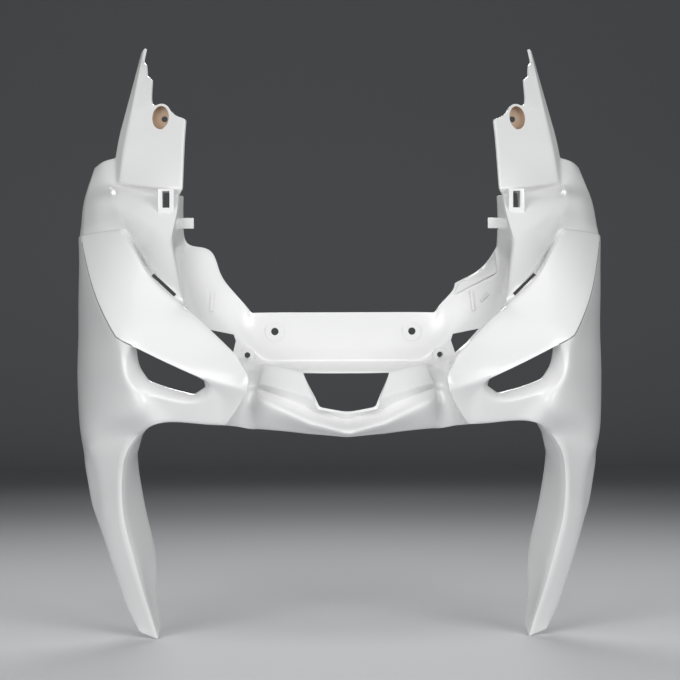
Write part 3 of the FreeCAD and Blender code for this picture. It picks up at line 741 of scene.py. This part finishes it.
def fit_cage(piece):
    """Moves the cage until the smooth surface passes through the points that the lines give."""
    points = [vertex.co.copy() for vertex in piece.data.vertices]
    smooth = piece.modifiers.new("fit", "SUBSURF")
    smooth.levels = 1
    smooth.use_limit_surface = True
    for _ in range(FIT_ROUNDS):
        graph = bpy.context.evaluated_depsgraph_get()
        reached = piece.evaluated_get(graph).to_mesh()
        offs = [point - reached.vertices[i].co for i, point in enumerate(points)]
        for vertex, off in zip(piece.data.vertices, offs):
            vertex.co += off * FIT_SHARE
        piece.data.update()
    piece.modifiers.clear()


def bake(piece):
    """The piece's mesh with its modifiers applied."""
    graph = bpy.context.evaluated_depsgraph_get()
    mesh = bpy.data.meshes.new_from_object(piece.evaluated_get(graph))
    piece.modifiers.clear()
    piece.data = mesh


def mark_cups(mesh):
    """Marks the unpainted inside of the arm cups."""
    bare = mesh.attributes.new("bare", "FLOAT", "FACE")
    for face in mesh.polygons:
        x, y, z = face.center / MM
        across = (abs(x) - ARM_HOLE_X - CUP_OFFSET) / (CUP_HALF_WIDTH + CUP_MARGIN)
        up = (z - ARM_HOLE_Z) / (CUP_HALF_HEIGHT + CUP_MARGIN)
        inside = across ** 2 + up ** 2 < 1 and y < CUP_FLOOR + 2 * CUP_MARGIN
        bare.data[face.index].value = BARE_SHARE if inside else 0.0


def mark_lines(mesh, runs):
    """Marks the faces inside the fine lines, which get painted shade."""
    points = [p for run in runs for a, b in zip(run, run[1:]) for p in span(a, b, LINE_STEPS)]
    tree = KDTree(len(points))
    for i, point in enumerate(points):
        tree.insert(point, i)
    tree.balance()
    # Painted shade on the faces within reach of the fine lines
    painted_shade = mesh.attributes.new("painted_shade", "FLOAT", "FACE")
    for face in mesh.polygons:
        gap = tree.find(face.center)[2]
        painted_shade.data[face.index].value = 1.0 if gap < LINE_REACH * LINE_R * MM else 0.0


def front_of(shell, x, z):
    """The point of the shell that a line from the front meets, in millimetres."""
    start = Vector((x * MM, RAY_START * MM, z * MM))
    hit, place, *_ = shell.ray_cast(start, Vector((0, 1, 0)))
    if not hit:
        raise RuntimeError(f"nothing in front at {x}, {z}")
    return place / MM


def raised_band(shell, upper, lower, rise):
    """Band that stands out from the shell between two lines given as X and Z, in millimetres."""
    bm = bmesh.new()
    rows = []
    for line in (upper, lower):
        feet = [front_of(shell, x, z) for x, z in line]
        rows.append([bm.verts.new((foot - Vector((0, rise, 0))) * MM) for foot in feet])
        rows.append([bm.verts.new((foot + Vector((0, BAND_ROOT, 0))) * MM) for foot in feet])
    ring = [rows[0], rows[2], rows[3], rows[1]]
    for side, after in zip(ring, ring[1:] + ring[:1]):
        for k in range(len(upper) - 1):
            bm.faces.new([side[k], side[k + 1], after[k + 1], after[k]])
    for end in (0, -1):
        bm.faces.new([side[end] for side in ring])
    bmesh.ops.recalc_face_normals(bm, faces=bm.faces[:])
    return new_object("band", bm)


def build_shell():
    shell = new_object("spoiler_shell", shell_cage())
    fit_cage(shell)
    smooth = shell.modifiers.new("smooth", "SUBSURF")
    smooth.levels = SMOOTH_LEVELS
    bake(shell)
    runs = seam_runs(shell.data)
    lines = [line_tool(run) for run in runs]
    bands = [raised_band(shell, *band) for band in BANDS]
    combine(shell, side_additions(1) + side_additions(-1) + bands, "UNION")
    combine(shell, side_cuts(1) + side_cuts(-1) + lines, "DIFFERENCE")
    for edge in shell.data.edges:
        edge.use_seam = False
    shell.data.shade_smooth()
    shell.data.set_sharp_from_angle(angle=math.radians(SHARP_ANGLE))
    mark_cups(shell.data)
    mark_lines(shell.data, runs)
    return shell


def nodes_of(name):
    material = bpy.data.materials.new(name)
    material.use_nodes = True
    tree = material.node_tree
    return material, tree, tree.nodes["Principled BSDF"]


def noise(tree, place, scale):
    """Soft noise over the object."""
    node = tree.nodes.new("ShaderNodeTexNoise")
    node.inputs["Scale"].default_value = scale
    node.inputs["Detail"].default_value = NOISE_DETAIL
    tree.links.new(place.outputs["Object"], node.inputs["Vector"])
    return node.outputs["Fac"]


def blend(tree, value, start, end):
    """Colour that goes from one to another with a value."""
    node = tree.nodes.new("ShaderNodeValToRGB")
    node.color_ramp.elements[0].color = (*start, 1)
    node.color_ramp.elements[1].color = (*end, 1)
    tree.links.new(value, node.inputs["Fac"])
    return node.outputs["Color"]


def stained_or_shaded(tree, colour, attribute, stain_or_shade):
    """Colour with a stain or painted shade on the faces that an attribute marks."""
    marks = tree.nodes.new("ShaderNodeAttribute")
    marks.attribute_name = attribute
    mix = tree.nodes.new("ShaderNodeMix")
    mix.data_type = "RGBA"
    mix.inputs["B"].default_value = (*stain_or_shade, 1)
    tree.links.new(marks.outputs["Fac"], mix.inputs["Factor"])
    tree.links.new(colour, mix.inputs["A"])
    return mix.outputs["Result"]


def plastic():
    """Gloss white plastic: faint mottling and ripple, bare in the cups, with painted shade in the fine
    lines.
    """
    material, tree, shader = nodes_of("white_plastic")
    place = tree.nodes.new("ShaderNodeTexCoord")
    mottle = noise(tree, place, MOTTLE_SCALE)
    colour = blend(tree, mottle, PAINT_DARK, PAINT_LIGHT)
    colour = stained_or_shaded(tree, colour, "bare", BARE_COLOUR)
    # Painted shade in the fine lines
    colour = stained_or_shaded(tree, colour, "painted_shade", LINE_SHADE_COLOUR)
    sheen = tree.nodes.new("ShaderNodeMapRange")
    sheen.inputs["To Min"].default_value = SMOOTHEST
    sheen.inputs["To Max"].default_value = ROUGHEST
    bump = tree.nodes.new("ShaderNodeBump")
    bump.inputs["Strength"].default_value = 0.05
    bump.inputs["Distance"].default_value = 0.001
    links = tree.links
    links.new(mottle, sheen.inputs["Value"])
    links.new(noise(tree, place, RIPPLE_SCALE), bump.inputs["Height"])
    links.new(colour, shader.inputs["Base Color"])
    links.new(sheen.outputs["Result"], shader.inputs["Roughness"])
    links.new(bump.outputs["Normal"], shader.inputs["Normal"])
    shader.inputs["IOR"].default_value = 1.5
    shader.inputs["Coat Weight"].default_value = 0.2
    shader.inputs["Coat Roughness"].default_value = 0.06
    return material


def floor_paint():
    """Pale floor that deepens behind the object to a grey wall."""
    material, tree, shader = nodes_of("studio_paint")
    place = tree.nodes.new("ShaderNodeTexCoord")
    parts = tree.nodes.new("ShaderNodeSeparateXYZ")
    depth = tree.nodes.new("ShaderNodeMapRange")
    depth.interpolation_type = "SMOOTHSTEP"
    depth.inputs["From Min"].default_value = FADE_START
    depth.inputs["From Max"].default_value = FADE_END
    links = tree.links
    links.new(place.outputs["Object"], parts.inputs["Vector"])
    links.new(parts.outputs["Y"], depth.inputs["Value"])
    colour = blend(tree, depth.outputs["Result"], FLOOR_PALE, FLOOR_GREY)
    links.new(colour, shader.inputs["Base Color"])
    shader.inputs["Roughness"].default_value = 0.9
    return material


def sweep(lowest):
    """Floor that curves up into a wall behind the object."""
    bm = bmesh.new()
    profile = [(FLOOR_FRONT, lowest), (FLOOR_BEND, lowest)]
    radius = STUDIO_BACK - FLOOR_BEND
    for i in range(1, BEND_STEPS + 1):
        turn = math.radians(90 * i / BEND_STEPS)
        profile.append((FLOOR_BEND + radius * math.sin(turn), lowest + radius * (1 - math.cos(turn))))
    profile.append((STUDIO_BACK, STUDIO_TOP))
    left = [bm.verts.new((-STUDIO_HALF, y, z)) for y, z in profile]
    right = [bm.verts.new((STUDIO_HALF, y, z)) for y, z in profile]
    for i in range(len(profile) - 1):
        bm.faces.new([left[i], right[i], right[i + 1], left[i + 1]])
    floor = new_object("studio_floor", bm)
    floor.data.shade_smooth()
    floor.data.materials.append(floor_paint())


def softbox(name, place, power, width, height):
    lamp = bpy.data.lights.new(name, "AREA")
    lamp.energy = power
    lamp.shape = "RECTANGLE"
    lamp.size = width
    lamp.size_y = height
    lamp.spread = math.radians(LAMP_SPREAD)
    item = bpy.data.objects.new(name, lamp)
    item.location = place
    item.rotation_euler = (Vector(LAMP_AIM) - item.location).to_track_quat("-Z", "Y").to_euler()
    bpy.context.scene.collection.objects.link(item)


def studio():
    world = bpy.data.worlds.new("studio")
    world.use_nodes = True
    background = world.node_tree.nodes["Background"]
    background.inputs["Color"].default_value = (*WORLD_COLOUR, 1)
    background.inputs["Strength"].default_value = WORLD_STRENGTH
    bpy.context.scene.world = world
    for name, setting in LAMPS.items():
        softbox(name, *setting)


def camera():
    view = bpy.data.cameras.new("camera")
    view.lens = CAMERA_LENS
    item = bpy.data.objects.new("camera", view)
    yaw = math.radians(CAMERA_YAW)
    aim = Vector(CAMERA_AIM)
    item.location = aim + Vector((-math.sin(yaw), -math.cos(yaw), 0)) * CAMERA_DISTANCE
    turn = (aim - item.location).to_track_quat("-Z", "Y").to_matrix().to_4x4()
    roll = Matrix.Rotation(math.radians(CAMERA_ROLL), 4, "Z")
    item.matrix_world = Matrix.Translation(item.location) @ turn @ roll
    bpy.context.scene.collection.objects.link(item)
    bpy.context.scene.camera = item


shell = build_shell()
shell.data.materials.clear()
shell.data.materials.append(plastic())
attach(shell, "root")
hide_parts(NODE)
sweep(cad_box[0][2])
studio()
camera()
bpy.context.scene.view_settings.view_transform = "Standard"
